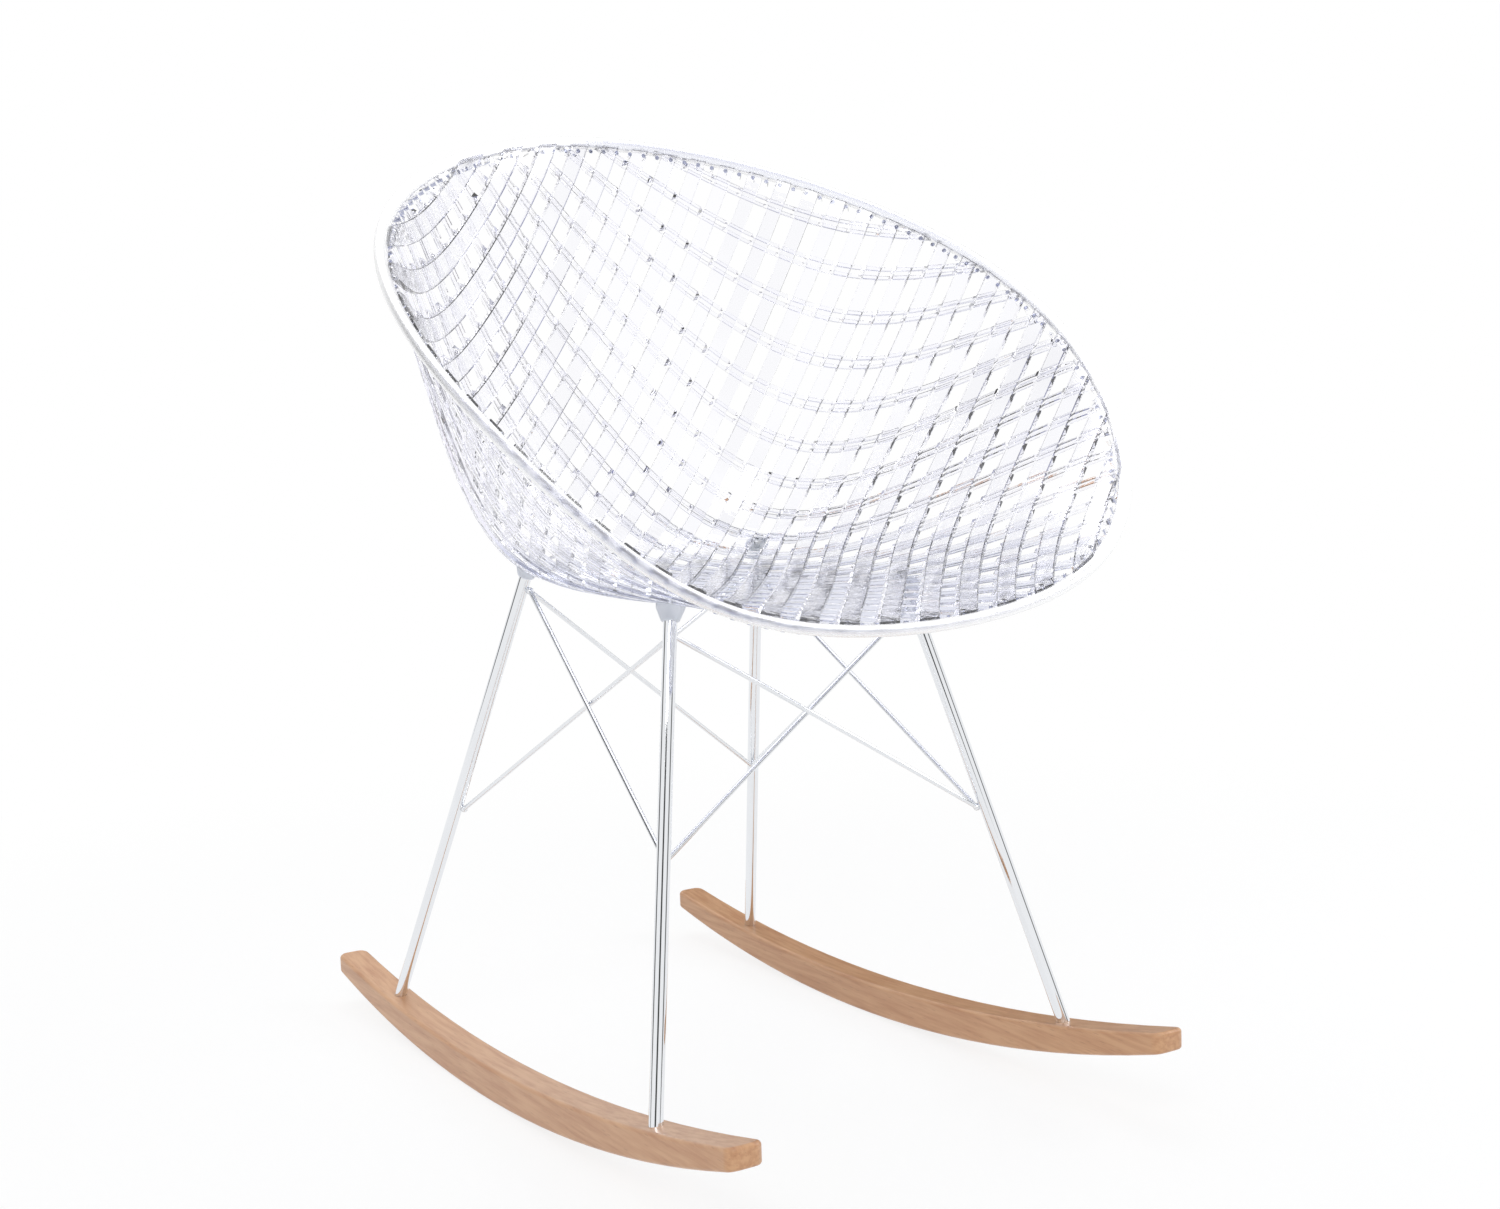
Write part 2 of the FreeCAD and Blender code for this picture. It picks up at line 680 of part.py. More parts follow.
for index, (side_name, (one, other)) in enumerate(SIDES.items()):
    before = list(SIDES.values())[index - 1][0]
    after = list(SIDES.values())[(index + 1) % len(SIDES)][1]
    runs = {wire: (contact_of(wire, one), contact_of(wire, other)) for wire in ("inner", "outer")}
    inner_share, outer_share, outward, gap = crossing_of(runs["inner"], runs["outer"])
    apart = 1 if gap >= 0 else -1
    bow = max((size("wire_diameter") + size("crossing_gap") - abs(gap)) / 2, size("least_bow"))
    for wire, share, direction in (("inner", inner_share, -apart), ("outer", outer_share, apart)):
        name = f"brace_{wire}_{side_name}"
        start, stop = runs[wire]
        if abs(gap) > size("wire_diameter"):
            run = cylinder(name + "_run", "sizes.wire_diameter / 2", (stop - start).Length,
                           along(start, stop - start))
        else:
            run = bowed_wire(name, start, stop, share, outward * (direction * bow))
        tools = [weld_balls[wire, one], weld_balls[wire, other],
                 mitre(name, wire, one, other, before), mitre(name, wire, other, one, after)]
        keep(cut(name + "_cut", run, tools), name)


doc.recompute()
for item in doc.Objects:
    if "Invalid" in item.State or "Error" in item.State:
        raise RuntimeError(f"{item.Label} did not build: {item.State}")
for item in parts:
    if item.Shape.isNull() or not item.Shape.isValid() or len(item.Shape.Solids) != 1:
        raise RuntimeError(f"{item.Label} is not one valid solid")

os.makedirs("parts", exist_ok=True)
for item in parts:
    item.Shape.exportStep(f"parts/{item.Label}.step")
    box = item.Shape.BoundBox
    print(f"{item.Label:34s} {item.Shape.Volume / 1000:9.3f} cm3   "
          f"x {box.XMin:7.1f} {box.XMax:7.1f}   y {box.YMin:7.1f} {box.YMax:7.1f}   "
          f"z {box.ZMin:6.1f} {box.ZMax:6.1f}")
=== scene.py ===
"""A rocking chair: a clear moulded lattice bucket on chromed rods, wire braces and beech rockers.

The ribs, the rim's bead and its pegs take the place of the frame's plain bucket. The frame's other
pieces keep their shape and get their finishes."""

import math

import bpy
import numpy as np
from bpy.props import FloatProperty, FloatVectorProperty, IntProperty, PointerProperty
from mathutils import Matrix, Vector


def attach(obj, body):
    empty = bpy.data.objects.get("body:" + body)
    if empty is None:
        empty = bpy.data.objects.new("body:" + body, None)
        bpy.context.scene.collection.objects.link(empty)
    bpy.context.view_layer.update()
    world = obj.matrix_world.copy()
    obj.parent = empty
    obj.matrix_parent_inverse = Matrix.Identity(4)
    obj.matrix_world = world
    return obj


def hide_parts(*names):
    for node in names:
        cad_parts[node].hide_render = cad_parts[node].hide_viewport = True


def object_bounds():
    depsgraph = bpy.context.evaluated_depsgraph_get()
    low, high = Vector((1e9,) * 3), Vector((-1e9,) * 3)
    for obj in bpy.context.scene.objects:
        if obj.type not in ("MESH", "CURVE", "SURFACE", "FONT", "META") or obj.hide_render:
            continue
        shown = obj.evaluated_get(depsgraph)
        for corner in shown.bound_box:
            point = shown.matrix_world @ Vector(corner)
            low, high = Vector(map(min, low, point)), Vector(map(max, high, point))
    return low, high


bl_info = {
    "name": "Lattice rocking chair",
    "version": (1, 0, 0),
    "blender": (4, 5, 0),
    "location": "View3D > Sidebar > Rocker",
    "description": "Builds a rocking chair's lattice bucket, its frame's finishes and a studio",
    "category": "Object",
}

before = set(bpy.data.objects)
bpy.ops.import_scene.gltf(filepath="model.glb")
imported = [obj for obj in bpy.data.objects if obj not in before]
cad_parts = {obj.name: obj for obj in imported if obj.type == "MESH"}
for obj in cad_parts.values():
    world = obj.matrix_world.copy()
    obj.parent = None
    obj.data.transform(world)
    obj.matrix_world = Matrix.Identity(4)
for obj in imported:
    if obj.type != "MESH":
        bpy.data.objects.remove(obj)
CAD_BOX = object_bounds()

BODY = "root"
FULL_TURN = 2 * math.pi

# The rim: overtones of its sideways reach, and of its way back and up.
RIM_WIDTH_SKEW = (-0.038, 0.006, 0.028)
RIM_RUN_SKEW = (-0.183, -0.025)
RIM_RISE_SKEW = (-0.026, -0.017)
RIM_POINTS = 721
RIM_FINE_POINTS = 1441

# The bucket's face between pan and rim, and the power with which the ribs lean out at the rim.
PAN_SQUARENESS = 2.331
PAN_SLOPE = 0.066
PAN_POWER = 5.677
WALL_POWER = 0.498
WALL_SWELL = 1.446
WALL_SWING = 0.8 * math.pi / 2
RIM_BLEND = 8

# The search for a place on the bucket's face: its step for slopes, its rounds and its limits.
NUDGE = 1e-4
ROUNDS = 40
LONGEST_TURN = 0.2
LONGEST_STEP = 0.1
FIRST_SHARE = 0.01
LEAST_SHARE = 0.002
LEAST_AREA = 1e-9

# The ribs' drift: middle and reach of the cubic, in metres seen along the draw, and its rounds.
DRIFT_MIDDLE = (0.06, 0.45)
DRIFT_REACH = 0.24
DRIFT_ORDER = 3
DRIFT_ROUNDS = 30

# How the ribs end under the bead, in pitches, and how far the two layers sink into each other.
END_CLEAR = 0.15
END_TRIM = 0.16
LAYER_WELD = 0.0002

# Studs at the crossings, in pitches: clearance from the rim, and half sizes at foot and tip.
KNOT_CLEAR = 0.3
KNOT_RINGS = ((0.16, 0.14), (0.07, 0.07))

# The bead's section and the pegs.
BEAD_STEPS = 480
BEAD_ROUND_POINTS = 9
BEAD_BREAK = 0.001
WALL_NUDGE = 0.003
PEG_SIDES = 10
PEG_PROUD = 0.0004

# Clear acrylic, and the heights between which the pan's painted shade, a pale grey, gives way to
# the wall's colour.
ACRYLIC_IOR = 1.49
RIB_ROUGHNESS = 0.03
BEAD_ROUGHNESS = 0.45
PEG_ROUGHNESS = 0.1
PAN_SHADE_EDGE = (0.445, 0.475)

# A colour mix node's places for its two colours, and for its result.
MIX_FROM, MIX_TO, MIX_RESULT = 6, 7, 2

# The floor: its half side, its gap under the rockers, and from where to where its white takes over.
FLOOR_REACH = 6
FLOOR_GAP = 0.0005
FADE = (0.5, 1.6)
FLOOR_WHITE = 0.84

# Dark cards round the studio, as shares of a turn: start, end and the light they send back. Their
# edges are soft. Dusk gives the heights between which the studio dims, as clear pieces show it.
DARK_CARDS = ((0.12, 0.17, 0.05), (0.35, 0.38, 0.10), (0.62, 0.66, 0.05), (0.88, 0.92, 0.08))
CARD_EDGE = 0.02
DUSK = (0.32, 0.75)
WHITE = (1, 1, 1, 1)

# The lamps, each with its place and side length, and the point that they face.
LAMPS = {
    "key": ((-1.8, -2.2, 2.6), 1.6),
    "fill": ((2.4, -1.2, 1.8), 1.4),
    "top": ((0.2, 0.8, 3.0), 2.0),
}
LAMP_AIM = (0, 0, 0.4)

CAMERA_PLACE = (-0.8506, -1.4671, 0.5756)
CAMERA_RIGHT = (0.84836, -0.52814, -0.03689)
CAMERA_UP = (0.08567, 0.06819, 0.99399)
CAMERA_AHEAD = (0.52244, 0.84642, -0.1031)
SENSOR_WIDTH = 36


def linear(code):
    """The three channels of an sRGB hex colour as linear light."""
    channels = [int(code[i:i + 2], 16) / 255 for i in (0, 2, 4)]
    return tuple(c / 12.92 if c <= 0.04045 else ((c + 0.055) / 1.055) ** 2.4 for c in channels)


def length(name, metres, description):
    """A length that the user may change, in metres."""
    return FloatProperty(name=name, default=metres, min=0, unit="LENGTH", precision=4,
                         description=description)


def ratio(name, number, description):
    """A plain number that the user may change."""
    return FloatProperty(name=name, default=number, description=description)


def power(name, watts, description):
    """A lamp's power that the user may change, in watts."""
    return FloatProperty(name=name, default=watts, min=0, unit="POWER", description=description)


def colour(name, code, description):
    """A colour that the user may change, given as sRGB hex."""
    return FloatVectorProperty(name=name, default=linear(code), size=3, min=0, max=1,
                               subtype="COLOR", description=description)


def drift(name, weights):
    """The weights of the cubic by which one family of ribs leaves an even grid."""
    return FloatVectorProperty(name=name, default=weights, size=len(weights),
                               description="How the ribs leave an even grid, in pitches per term")


class BucketShape(bpy.types.PropertyGroup):
    """The outer face of the bucket: a rim curve and a flat pan, joined by a curved wall."""
    width: length("Width", 0.602, "Rim from side to side")
    lip_forward: length("Lip forward", 0.324, "Front lip in front of the origin")
    lip_height: length("Lip height", 0.407, "Front lip above the floor")
    rim_run: length("Rim run", 0.488, "Rim from front to back")
    rim_rise: length("Rim rise", 0.406, "Top of the back above the front lip")
    pan_half_width: length("Pan half width", 0.246, "Centre of the seat pan to its side")
    pan_centre_back: length("Pan centre", 0.034, "Pan centre behind the origin")
    pan_front: length("Pan front", 0.279, "Pan centre to the front")
    pan_rear: length("Pan rear", 0.192, "Pan centre to the back")
    pan_height: length("Pan height", 0.438, "Pan plane above the floor at its centre")
    pan_dish: length("Pan dish", 0.020, "How far the pan's middle sinks")
    wall: length("Wall", 0.009, "Thickness of the bucket's wall")


class LatticeShape(bpy.types.PropertyGroup):
    """Two crossing layers of ribs, and the bead and pegs at the rim."""
    pitch: length("Pitch", 0.02606, "Distance between ribs, seen along the draw of the mould")
    draw: FloatProperty(name="Draw", default=math.radians(41.3), subtype="ANGLE",
                        description="How far the mould's draw dips below level")
    strip_share: ratio("Strip share", 0.5, "Width of an inner rib as a share of the pitch")
    band_share: ratio("Band share", 0.15, "Half the width of a pair of outer ribs, in pitches")
    band_groove: ratio("Band groove", 0.045, "Half the groove between those ribs, in pitches")
    strip_start: ratio("Strip start", 15.49, "Where the inner ribs start, in pitches")
    band_start: ratio("Band start", 20.95, "Where the outer ribs start, in pitches")
    strip_drift: drift("Strip drift",
                       (-0.538, 0.395, 0.634, 0.039, -0.079, 0.355, 0.607, 0.774, -0.369, 0.544))
    band_drift: drift("Band drift",
                      (0.357, 0.494, -0.853, -0.731, -0.492, 0.103, 0.505, -0.219, -0.859, 0.384))
    chamfer: length("Chamfer", 0.0007, "Broken edge of a rib")
    bead_height: length("Bead height", 0.010, "Height of the solid bead round the rim")
    peg_spacing: length("Peg spacing", 0.0135, "Distance between the pegs under the bead")
    peg_diameter: length("Peg diameter", 0.0040, "Diameter of a peg")
    steps: IntProperty(name="Steps", default=150, min=20, max=400,
                       description="Sections along a rib")


class Finishes(bpy.types.PropertyGroup):
    """Colours of the materials."""
    acrylic: colour("Acrylic", "FBFBFE", "Flat faces of the clear ribs")
    # Painted shade: a pale grey for the outer ribs under the pan, for the look through many ribs in
    # a row.
    acrylic_pan_shade: colour("Painted shade in the pan", "EEEFF5", "Outer ribs under the pan, seen in a row")
    acrylic_bead: colour("Acrylic bead", "F1F2F8", "Solid bead round the rim")
    # Painted shade: the pegs take a darker grey than the clear ribs, for how dark they look through
    # their depth.
    acrylic_peg_shade: colour("Painted peg shade", "B4B8CC", "Pegs, seen through their depth")
    frosted: colour("Frosted acrylic", "EEF1F7", "Sockets under the bucket")
    chrome: colour("Chrome", "EDEFF2", "Plated rods and wires")
    steel: colour("Steel", "CFD1D4", "Screws")
    beech: colour("Beech", "CE9F76", "Pale growth of the rockers' wood")
    beech_dark: colour("Beech grain", "B7825A", "Dark growth and flecks of the rockers' wood")


class StudioLook(bpy.types.PropertyGroup):
    """The floor, the light and the lens."""
    floor: colour("Floor", "F6F6F6", "Matt floor")
    sky: colour("Sky", "F4F6FA", "Soft light from all round")
    sky_strength: ratio("Sky strength", 0.55, "Strength of the soft light from all round")
    ceiling: colour("Ceiling", "8488AE", "Upper part of the studio, as clear pieces show it")
    key: power("Key", 45, "Lamp in front, on the chair's right")
    fill: power("Fill", 22, "Lamp in front, on the chair's left")
    top: power("Top", 30, "Lamp above")
    lens: FloatProperty(name="Lens", default=47.51, min=1, unit="CAMERA",
                        description="Focal length")


def across_rim(t):
    """The rim's sideways reach before scaling: one sine wave with three small overtones."""
    second, third, fourth = RIM_WIDTH_SKEW
    return np.sin(t) + second * np.sin(2 * t) + third * np.sin(3 * t) + fourth * np.sin(4 * t)


def along_rim(t, skew):
    """How far the rim has gone from front (0) to back (1): a half cosine with two overtones."""
    second, third = skew
    return (1 - np.cos(t) + second * (1 - np.cos(2 * t)) + third * (np.cos(t) - np.cos(3 * t))) / 2


def rim(t, shape):
    """Points of the rim at angles t, with 0 at the front lip and pi at the top of the back. Its
    width is a wave scaled to the bucket's width; its run and rise are shares of the whole run
    and rise."""
    widest = np.abs(across_rim(np.linspace(0, math.pi, RIM_POINTS))).max()
    return np.stack([
        shape.width / 2 * across_rim(t) / widest,
        shape.rim_run * along_rim(t, RIM_RUN_SKEW) - shape.lip_forward,
        shape.rim_rise * along_rim(t, RIM_RISE_SKEW) + shape.lip_height,
    ], -1)


def rooted(wave):
    """A sine or cosine raised to the power that turns a circle into the pan's squarer outline."""
    return np.sign(wave) * np.abs(wave) ** (2 / PAN_SQUARENESS)


def wall_turn(share):
    """The angle of the wall's arc at a share: its sine is a power of the share, times the sine of
    the whole swing."""
    return np.arcsin(np.clip(share ** (PAN_POWER / 2) * math.sin(WALL_SWING), 0, 1))


def bucket(t, share, shape):
    """Outer face at angle t and at a share of the way from the pan's centre (0) to the rim (1). The
    wall turns through an arc: its height rises as a power of the arc's cosine falls, its plan
    goes from the pan's outline to the rim by a power of that rise, and the pan's middle sinks
    by the square of the share."""
    edge = rim(t, shape)
    top = 1 - math.cos(WALL_SWING) ** (2 / WALL_POWER)
    rise = (1 - np.cos(wall_turn(share)) ** (2 / WALL_POWER)) / top
    swell = rise ** WALL_SWELL
    pan_x = shape.pan_half_width * rooted(np.sin(t))
    pan_y = -np.where(np.cos(t) > 0, shape.pan_front, shape.pan_rear) * rooted(np.cos(t))
    x = pan_x * share + (edge[..., 0] - pan_x) * swell
    to_rim = edge[..., 1] - shape.pan_centre_back
    y = shape.pan_centre_back + pan_y * share + (to_rim - pan_y) * swell
    plane = shape.pan_height + PAN_SLOPE * (y - shape.pan_centre_back)
    plane_at_rim = shape.pan_height + PAN_SLOPE * to_rim
    z = plane + (edge[..., 2] - plane_at_rim) * rise - shape.pan_dish * (1 - share ** 2)
    return np.stack([x, y, z], -1)


def lean(share, shape):
    """How far the ribs lean out of the face: half a wall at the rim, and less below by a power of
    the part of the wall's arc that has been turned."""
    return shape.wall / 2 * (wall_turn(share) / WALL_SWING) ** RIM_BLEND


def plan(points, draw):
    """Points seen along the mould's draw, as two coordinates: sideways, and up across the draw."""
    up = points[..., 1] * math.sin(draw) + points[..., 2] * math.cos(draw)
    return np.stack([points[..., 0], up], -1)


def below(target, shape, draw):
    """Angle and share of the face's points that lie at target when seen along the draw. The first
    guess goes by bearing and distance from the pan's middle. Each round takes away what is
    missed, by the face's slopes in both coordinates."""
    middle = plan(bucket(np.zeros(1), np.zeros(1), shape), draw)[0]
    ring = np.linspace(-math.pi, math.pi, RIM_POINTS)
    edge = plan(rim(ring, shape), draw) - middle
    bearing = np.unwrap(np.arctan2(edge[:, 0], -edge[:, 1]))
    offset = target - middle
    reach = np.hypot(offset[..., 0], offset[..., 1])
    wanted = np.arctan2(offset[..., 0], -offset[..., 1])
    t = np.interp(wanted, bearing, ring, period=FULL_TURN)
    span = np.interp(wanted, bearing, np.hypot(edge[:, 0], edge[:, 1]), period=FULL_TURN)
    share = np.clip(reach / span, FIRST_SHARE, 1)
    for _ in range(ROUNDS):
        here = plan(bucket(t, share, shape), draw)
        by_t = (plan(bucket(t + NUDGE, share, shape), draw) - here) / NUDGE
        by_share = (here - plan(bucket(t, share - NUDGE, shape), draw)) / NUDGE
        miss = target - here
        area = by_t[..., 0] * by_share[..., 1] - by_t[..., 1] * by_share[..., 0]
        area = np.where(np.abs(area) < LEAST_AREA, LEAST_AREA, area)
        t_step = (miss[..., 0] * by_share[..., 1] - miss[..., 1] * by_share[..., 0]) / area
        share_step = (by_t[..., 0] * miss[..., 1] - by_t[..., 1] * miss[..., 0]) / area
        t = t + np.clip(t_step, -LONGEST_TURN, LONGEST_TURN)
        share = np.clip(share + np.clip(share_step, -LONGEST_STEP, LONGEST_STEP), LEAST_SHARE, 1)
    return t, share


def drifted(flat, net):
    """How far both families of ribs have left the even grid, as two cubics of the place."""
    across = (flat[..., 0] - DRIFT_MIDDLE[0]) / DRIFT_REACH
    up = (flat[..., 1] - DRIFT_MIDDLE[1]) / DRIFT_REACH
    terms = [across ** a * up ** b
             for a in range(DRIFT_ORDER + 1) for b in range(DRIFT_ORDER + 1 - a)]
    return np.stack(terms, -1) @ np.stack([net.strip_drift, net.band_drift], -1)


def to_lattice(flat, net):
    """Lattice coordinates, in pitches, of points seen along the draw: that view's two diagonals,
    and a drift."""
    turned = np.stack([flat[..., 0] - flat[..., 1], -flat[..., 0] - flat[..., 1]], -1)
    even = turned / (net.pitch * math.sqrt(2)) + (net.strip_start, net.band_start)
    return even + drifted(flat, net)


def from_lattice(grid, net):
    """The points seen along the draw with these lattice coordinates, by repeated correction."""
    wanted = grid - (net.strip_start, net.band_start)
    flat = np.broadcast_to(DRIFT_MIDDLE, grid.shape)
    for _ in range(DRIFT_ROUNDS):
        turned = (wanted - drifted(flat, net)) * (net.pitch / math.sqrt(2))
        flat = np.stack([turned[..., 0] - turned[..., 1], -turned[..., 0] - turned[..., 1]], -1)
    return flat


def lattice_outline(shape, net):
    """The rim in lattice coordinates."""
    edge = rim(np.linspace(-math.pi, math.pi, RIM_FINE_POINTS), shape)
    return to_lattice(plan(edge, net.draw), net)


def crossings(value, curve, index):
    """Lowest and highest other coordinate where a closed curve passes values of one coordinate."""
    own, other = curve[:, index], curve[:, 1 - index]
    begin, end = own[:-1], own[1:]
    passes = (begin[None] <= value[:, None]) != (end[None] <= value[:, None])
    part = (value[:, None] - begin[None]) / np.where(end == begin, 1, end - begin)[None]
    place = other[:-1][None] + part * (other[1:] - other[:-1])[None]
    return np.where(passes, place, np.inf).min(1), np.where(passes, place, -np.inf).max(1)


def unit(vectors):
    """The vectors at length one."""
    return vectors / np.linalg.norm(vectors, axis=-1, keepdims=True)


def outward(first, second, net):
    """The face's normal: the cross product of two directions in it, turned to the draw's side."""
    normal = unit(np.cross(first, second))
    draw_line = np.array([0, math.cos(net.draw), -math.sin(net.draw)])
    return normal * np.sign((normal * draw_line).sum(-1, keepdims=True))


def tube_faces(tubes, rings, sides, closed=False):
    """Faces of tubes laid out as rings of points: quads round and along, and a cap at open ends."""
    start = np.arange(tubes)[:, None, None] * rings * sides
    ring = np.arange(rings if closed else rings - 1)[None, :, None]
    side = np.arange(sides)[None, None, :]
    after = (side + 1) % sides
    beyond = (ring + 1) % rings
    here, there = start + ring * sides, start + beyond * sides
    quads = np.broadcast_arrays(here + side, here + after, there + after, there + side)
    faces = np.stack(quads, -1).reshape(-1, 4).tolist()
    if closed:
        return faces
    last = (rings - 1) * sides
    first = np.arange(tubes) * rings * sides
    near = (first[:, None] + np.arange(sides)[::-1]).tolist()
    far = (first[:, None] + last + np.arange(sides)).tolist()
    return faces + near + far


def rib_section(begin, end, cut):
    """Corners of a rib's section in turn: whether each is at the rib's second edge, its offset from
    its own edge towards the second, and its depth under the outer face."""
    return ((False, cut, begin), (True, -cut, begin), (True, 0, begin + cut), (True, 0, end - cut),
            (True, -cut, end), (False, cut, end), (False, 0, end - cut), (False, 0, begin + cut))


def rib_layer(index, depths, shape, net):
    """Ribs of one family as chamfered bars. A rib keeps one lattice coordinate and runs along the
    other, from rim to rim; its edges lie on the bucket, and its section is a box between two
    depths under the outer face."""
    outline = lattice_outline(shape, net)
    least, most = outline[:, index].min(), outline[:, index].max()
    counts = np.arange(math.ceil(least), math.floor(most) + 1)
    pair = ((-net.band_share, -net.band_groove), (net.band_groove, net.band_share))
    spans = pair if index else ((0, net.strip_share),)
    edges = np.concatenate([counts[:, None] + span for span in spans])
    edges = edges[(edges[:, 0] > least + END_CLEAR) & (edges[:, 1] < most - END_CLEAR)]
    low, high = crossings(edges.ravel(), outline, index)
    low, high = (low + END_TRIM).reshape(edges.shape), (high - END_TRIM).reshape(edges.shape)
    run = np.linspace(0, 1, net.steps + 1)[None, :, None]
    along = low[:, None] + (high - low)[:, None] * run
    held = np.broadcast_to(edges[:, None], along.shape)
    grid = np.stack([along, held] if index else [held, along], -1)
    t, share = below(from_lattice(grid, net), shape, net.draw)
    on_face = bucket(t, share, shape)
    gap = on_face[:, :, 1] - on_face[:, :, 0]
    ahead = np.gradient(on_face.mean(2), axis=1)
    normal = outward(ahead, gap, net)
    stand = lean(share, shape).mean(2)[..., None]
    across = unit(gap)
    section = rib_section(*depths, net.chamfer)
    rings = [on_face[:, :, int(second)] + across * inset + normal * (stand - depth)
             for second, inset, depth in section]
    points = np.stack(rings, 2)
    faces = tube_faces(*points.shape[:3])
    middle = net.steps // 2
    if np.linalg.det(np.stack([ahead[0, middle], gap[0, middle], normal[0, middle]])) > 0:
        faces = [face[::-1] for face in faces]
    return points, faces


def knots(shape, net):
    """Tapered studs in the corners where the first edge of an inner rib meets a pair of outer ribs.
    Each is a rectangle in lattice coordinates that stands on the outer ribs and shrinks towards
    the inner face."""
    outline = lattice_outline(shape, net)
    counts = np.arange(math.ceil(outline[:, 0].min()), math.floor(outline[:, 0].max()) + 1)
    low, high = crossings(counts.astype(float), outline, 0)
    spots = [(i, j) for i, a, b in zip(counts, low, high) if np.isfinite(a)
             for j in range(math.ceil(a), math.ceil(b)) if a + KNOT_CLEAR < j < b - KNOT_CLEAR]
    rings = [[(-wide, -tall), (0, -tall), (0, tall), (-wide, tall)] for wide, tall in KNOT_RINGS]
    grid = np.array(spots, float)[:, None, None] + np.array(rings)
    t, share = below(from_lattice(grid, net), shape, net.draw)
    on_face = bucket(t, share, shape)
    foot = on_face[:, 0]
    normal = outward(foot[:, 1] - foot[:, 0], foot[:, 3] - foot[:, 0], net)[:, None, None]
    stand = lean(share, shape).mean((1, 2))[:, None, None, None]
    depths = np.array([shape.wall / 2, shape.wall - net.chamfer])[None, :, None, None]
    points = on_face + normal * (stand - depths)
    return points, tube_faces(*points.shape[:3])


def wall_frame(t, shape):
    """At the rim: the point, the way down the wall, and the way out of it, both at length one."""
    top = bucket(t, np.ones_like(t), shape)
    down = unit(bucket(t, np.full_like(t, 1 - WALL_NUDGE), shape) - top)
    ahead = unit(np.gradient(top, axis=0))
    out = unit(np.cross(ahead, down))
    middle = np.array([0, shape.pan_centre_back, shape.pan_height + shape.rim_rise / 2])
    out = out * np.sign(((top - middle) * out).sum(-1, keepdims=True))
    return top, down, out


def rim_bead(shape, net):
    """The bead: a half circle over a straight foot with broken corners, carried round the rim."""
    t = np.linspace(-math.pi, math.pi, BEAD_STEPS + 1)
    top, down, out = (value[:-1] for value in wall_frame(t, shape))
    half = shape.wall / 2
    foot = net.bead_height - half
    section = [(half * math.cos(a), -half * math.sin(a))
               for a in np.linspace(0, math.pi, BEAD_ROUND_POINTS)]
    section += [(-half, foot - BEAD_BREAK), (-half + BEAD_BREAK, foot), (half - BEAD_BREAK, foot),
                (half, foot - BEAD_BREAK)]
    points = np.stack([top + out * a + down * b for a, b in section], 1)
    return points, tube_faces(1, len(top), len(section), closed=True)


def rim_pegs(shape, net):
    """Short round pegs through the wall under the bead, at even steps of arc round the rim. Each is
    two circles, one past either face of the wall."""
    t = np.linspace(-math.pi, math.pi, RIM_FINE_POINTS)
    arc = np.concatenate([[0], np.cumsum(np.linalg.norm(np.diff(rim(t, shape), axis=0), axis=1))])
    count = round(arc[-1] / net.peg_spacing)
    top, down, out = wall_frame(np.interp(np.arange(count) / count * arc[-1], arc, t), shape)
    ahead = np.cross(down, out)
    angle = np.arange(PEG_SIDES) / PEG_SIDES * FULL_TURN
    circle = np.cos(angle)[:, None] * ahead[:, None] + np.sin(angle)[:, None] * down[:, None]
    circle = net.peg_diameter / 2 * circle
    centre = top + down * net.bead_height
    reach = shape.wall / 2 + PEG_PROUD
    points = np.stack([circle + (centre + out * depth)[:, None] for depth in (reach, -reach)], 1)
    return points, tube_faces(*points.shape[:3])


def put_clear(name, points, faces, material, smooth=False):
    """A clear piece at the origin that stands in for the plain bucket, from points and outward
    faces."""
    if not np.isfinite(points).all():
        raise ValueError(f"{name} has points that lie off the bucket")
    mesh = bpy.data.meshes.new(name)
    mesh.from_pydata(points.reshape(-1, 3).tolist(), [], faces)
    mesh.materials.append(material)
    mesh.polygons.foreach_set("use_smooth", np.full(len(faces), smooth))
    mesh.validate()
    mesh.update()
    piece = bpy.data.objects.new(name, mesh)
    bpy.context.scene.collection.objects.link(piece)
    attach(piece, BODY)
    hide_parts("seat_shell")


def finish_nodes(starts, material):
    """Gives the frame's pieces with these starts to their names a finish in place of their own."""
    pieces = [piece for name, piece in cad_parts.items() if name.startswith(starts)]
    if not pieces:
        raise ValueError(f"the frame has no piece whose name starts with {starts}")
    for piece in pieces:
        for slot in piece.material_slots:
            slot.link = "DATA"
            slot.material = material
        if not piece.material_slots:
            piece.data.materials.append(material)


def add(tree, kind, links=None, ramp=(), **values):
    """Adds one node, sets its named properties and sockets and the stops of its colour ramp, and
    links a source into each socket given."""
    node = tree.nodes.new(kind)
    for key, value in values.items():
        if hasattr(node, key):
            setattr(node, key, value)
        else:
            node.inputs[key.replace("_", " ")].default_value = value
    for index, (place, shade) in enumerate(ramp):
        stops = node.color_ramp.elements
        stop = stops[index] if index < 2 else stops.new(place)
        stop.position = place
        stop.color = shade
    for socket, source in (links or {}).items():
        tree.links.new(source, node.inputs[socket])
    return node


def opaque(rgb, strength=1):
    """A colour with its alpha, dimmed by a strength."""
    return (*[channel * strength for channel in rgb], 1)


def per_metre(millimetres):
    """How often a pattern repeats in a metre, from the size of one of its marks."""
    return 1000 / millimetres


def principled(name, base, **values):
    """A material with shader sockets set, its node tree, the shader and Object coordinates."""
    material = bpy.data.materials.new(name)
    material.use_nodes = True
    tree = material.node_tree
    shader = tree.nodes["Principled BSDF"]
    for key, value in {"Base_Color": opaque(base), **values}.items():
        shader.inputs[key.replace("_", " ")].default_value = value
    return material, tree, shader, add(tree, "ShaderNodeTexCoord").outputs["Object"]


